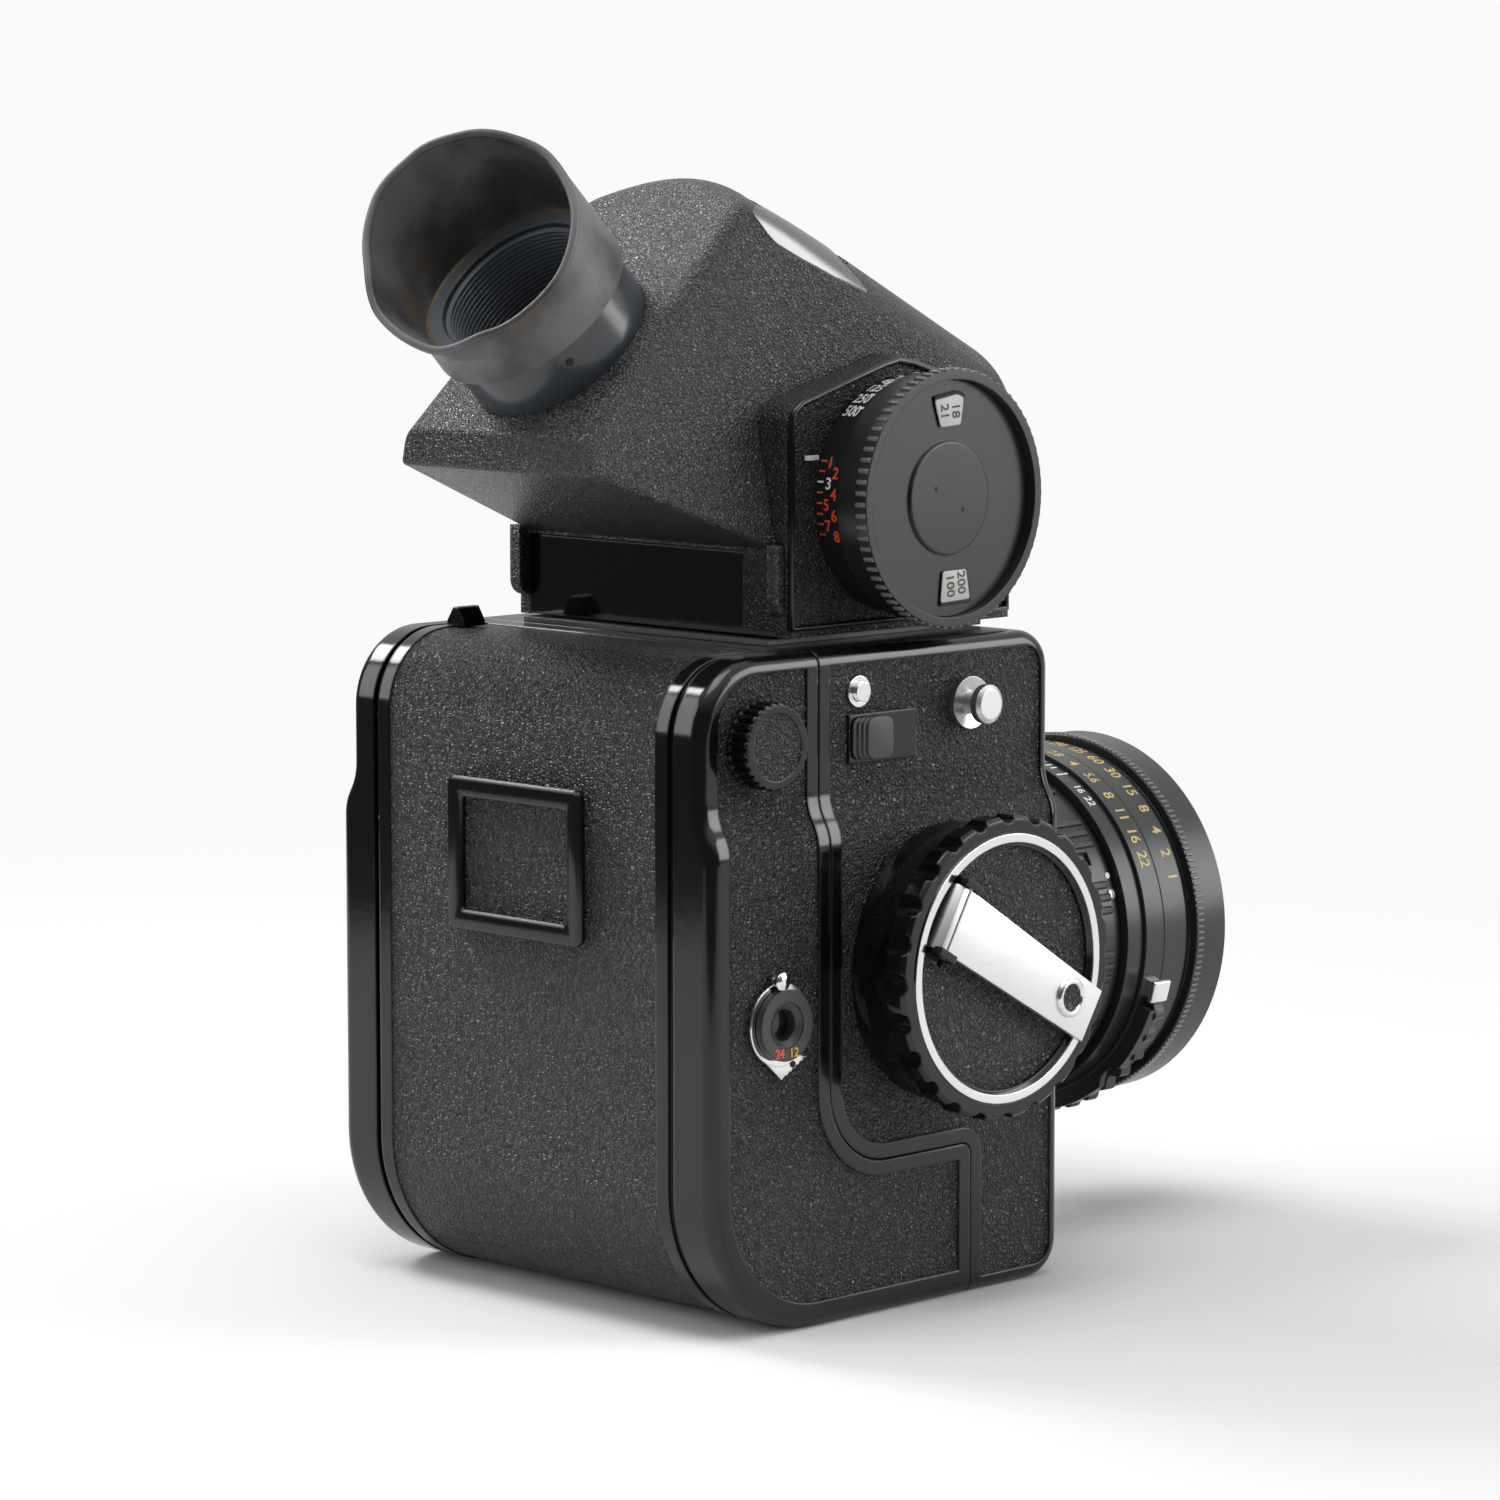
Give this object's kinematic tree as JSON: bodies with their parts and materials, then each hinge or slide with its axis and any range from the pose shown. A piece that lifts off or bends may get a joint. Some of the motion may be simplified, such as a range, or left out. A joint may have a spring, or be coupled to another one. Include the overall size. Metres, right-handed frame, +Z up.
{
  "type": "medium format film camera",
  "caption": "Black medium format reflex camera with a leather covered body, removable film back, leaning prism finder with a light meter dial, folding wind crank and a focusing lens.",
  "frame": {"origin": "centre of the tripod socket's mouth, on the underside", "axes": "+Z up, -Y the way the lens looks, +Y the rear of the film back, -X the side with the winding crank and the meter dial"},
  "size_m": [0.1181, 0.1704, 0.2071],
  "materials": {
    "body_enamel": "gloss black enamel, worn at the edges",
    "body_leather": "pebbled black leather",
    "knob_leather": "pebbled black leather with a black ring line",
    "satin_black": "satin black paint",
    "inner_black": "matt black paint",
    "spool_black": "matt black",
    "knob_enamel": "gloss black enamel, bright on worn edges",
    "finder_enamel": "fine grained satin black paint",
    "name_enamel": "gloss black enamel",
    "steel": "satin",
    "crank_silver": "satin",
    "chrome": "polished",
    "mirror": "mirror",
    "screen_glass": "ground glass",
    "prism_glass": "clear",
    "clear_glass": "clear",
    "coated_glass": "coated",
    "counter_print": "black disc with painted numbers",
    "dial_print": "satin black with painted scales",
    "dial_face_print": "satin dark grey with painted scales",
    "ring_print": "satin black with painted numbers",
    "lens_black": "satin black paint",
    "eyecup_rubber": "weathered grey rubber"
  },
  "bodies": {
    "camera": {"body_shell": "body_enamel", "body_right_leather": "body_leather", "body_left_leather": "body_leather", "front_leather": "body_leather", "finder_seat": "satin_black", "tripod_socket": "steel", "strap_stud_right": "steel", "strap_stud_left": "steel", "release_bezel": "chrome", "slider_plate": "body_enamel", "shutter_collar": "satin_black", "mirror_box": "inner_black", "focusing_screen": "screen_glass", "lens_mount_ring": "chrome", "lens_barrel": "satin_black"},
    "finder_release": {"finder_release_button": "chrome"},
    "exposure_slider": {"multi_exposure_slider": "knob_enamel"},
    "shutter_release": {"shutter_button": "chrome"},
    "mirror": {"reflex_mirror": "mirror"},
    "winder": {"wind_knob": "knob_enamel", "knob_trim_ring": "chrome", "knob_leather": "knob_leather", "crank_hinge_pin": "chrome"},
    "crank": {"crank_lever": "crank_silver"},
    "grip": {"crank_grip": "chrome"},
    "film_back": {"magazine_shell": "body_enamel", "left_cheek": "body_enamel", "left_cheek_leather": "body_leather", "back_leather": "body_leather", "memo_frame": "body_enamel"},
    "dark_slide": {"dark_slide": "steel"},
    "latch": {"back_latch": "body_enamel"},
    "film_insert": {"right_cheek": "body_enamel", "right_cheek_leather": "body_leather", "spool_frame": "inner_black", "pressure_plate": "steel", "counter_bezel": "satin_black", "counter_glass": "clear_glass"},
    "takeup": {"film_knob": "knob_enamel", "film_knob_cap": "body_leather", "takeup_spool": "spool_black"},
    "supply": {"supply_spool": "spool_black"},
    "counter": {"counter_disc": "counter_print"},
    "selector": {"format_selector": "chrome"},
    "finder": {"finder_housing": "finder_enamel", "finder_rear_plate": "body_enamel", "finder_prism": "prism_glass", "name_plate": "name_enamel", "meter_housing": "finder_enamel", "eyepiece_tube": "satin_black", "eyepiece_glass": "clear_glass", "eyecup": "eyecup_rubber"},
    "meter": {"meter_dial": "dial_print"},
    "calculator": {"dial_face": "dial_face_print"},
    "focus": {"focusing_ring": "lens_black"},
    "lens_front": {"index_barrel": "lens_black", "front_rim": "lens_black", "front_glass": "coated_glass"},
    "aperture": {"aperture_ring": "ring_print"},
    "speed": {"shutter_ring": "ring_print"}
  },
  "joints": [
    {"name": "wind", "type": "hinge", "parent": "camera", "child": "winder", "pos_m": [0, 0.0181, 0.0608], "axis": [-1, 0, 0], "continuous": true},
    {"name": "crank_fold", "type": "hinge", "parent": "winder", "child": "crank", "pos_m": [-0.06325, 0.0326, 0.071], "axis": [0, 0.5045, -0.8634], "range_deg": [0, 165]},
    {"name": "grip_turn", "type": "hinge", "parent": "crank", "child": "grip", "pos_m": [0, 0.00394, 0.05425], "axis": [-1, 0, 0], "continuous": true},
    {"name": "film_back_off", "type": "slide", "parent": "camera", "child": "film_back", "axis": [0, 1, 0], "range_m": [0, 0.04]},
    {"name": "dark_slide_pull", "type": "slide", "parent": "film_back", "child": "dark_slide", "axis": [1, 0, 0], "range_m": [0, 0.06]},
    {"name": "latch_push", "type": "slide", "parent": "film_back", "child": "latch", "axis": [-1, 0, 0], "range_m": [0, 0.003]},
    {"name": "insert_pull", "type": "slide", "parent": "film_back", "child": "film_insert", "axis": [-1, 0, 0], "range_m": [0, 0.075]},
    {"name": "takeup_turn", "type": "hinge", "parent": "film_insert", "child": "takeup", "pos_m": [0, 0.0625, 0.1023], "axis": [-1, 0, 0], "continuous": true},
    {"name": "supply_turn", "type": "hinge", "parent": "film_insert", "child": "supply", "pos_m": [0, 0.0565, 0.0186], "axis": [-1, 0, 0], "continuous": true},
    {"name": "counter_turn", "type": "hinge", "parent": "film_insert", "child": "counter", "pos_m": [0, 0.0605, 0.0544], "axis": [-1, 0, 0], "continuous": true},
    {"name": "selector_turn", "type": "hinge", "parent": "film_insert", "child": "selector", "pos_m": [0, 0.0605, 0.0544], "axis": [-1, 0, 0], "range_deg": [0, 60]},
    {"name": "finder_lift", "type": "slide", "parent": "camera", "child": "finder", "axis": [0, 0, 1], "range_m": [0, 0.03]},
    {"name": "meter_dial_turn", "type": "hinge", "parent": "finder", "child": "meter", "pos_m": [0, 0.018, 0.142], "axis": [-1, 0, 0], "range_deg": [-120, 120]},
    {"name": "calculator_turn", "type": "hinge", "parent": "meter", "child": "calculator", "pos_m": [0, 0.018, 0.142], "axis": [-1, 0, 0], "range_deg": [-60, 60]},
    {"name": "focus_turn", "type": "hinge", "parent": "camera", "child": "focus", "pos_m": [0, -0.012, 0.055], "axis": [0, -1, 0], "range_deg": [0, 200]},
    {"name": "lens_extend", "type": "slide", "parent": "camera", "child": "lens_front", "axis": [0, -1, 0], "range_m": [0, 0.006]},
    {"name": "aperture_turn", "type": "hinge", "parent": "lens_front", "child": "aperture", "pos_m": [0, -0.012, 0.055], "axis": [0, -1, 0], "range_deg": [-30, 30]},
    {"name": "speed_turn", "type": "hinge", "parent": "lens_front", "child": "speed", "pos_m": [0, -0.012, 0.055], "axis": [0, -1, 0], "range_deg": [-40, 40]},
    {"name": "mirror_swing", "type": "hinge", "parent": "camera", "child": "mirror", "pos_m": [0, 0.04382, 0.08343], "axis": [-1, 0, 0], "range_deg": [0, 45]},
    {"name": "finder_release_push", "type": "slide", "parent": "camera", "child": "finder_release", "axis": [1, 0, 0], "range_m": [0, 0.0015], "stiffness_N_per_m": 300},
    {"name": "shutter_push", "type": "slide", "parent": "camera", "child": "shutter_release", "axis": [0, 1, 0], "range_m": [0, 0.0015], "stiffness_N_per_m": 400},
    {"name": "exposure_slide", "type": "slide", "parent": "camera", "child": "exposure_slider", "axis": [0, -1, 0], "range_m": [0, 0.006]}
  ],
  "couplings": [
    {"joint": "takeup_turn", "follows": "wind", "ratio": 0.9},
    {"joint": "supply_turn", "follows": "wind", "ratio": 0.7},
    {"joint": "counter_turn", "follows": "wind", "ratio": 0.08},
    {"joint": "lens_extend", "follows": "focus_turn", "m_per_rad": 0.0017}
  ]
}
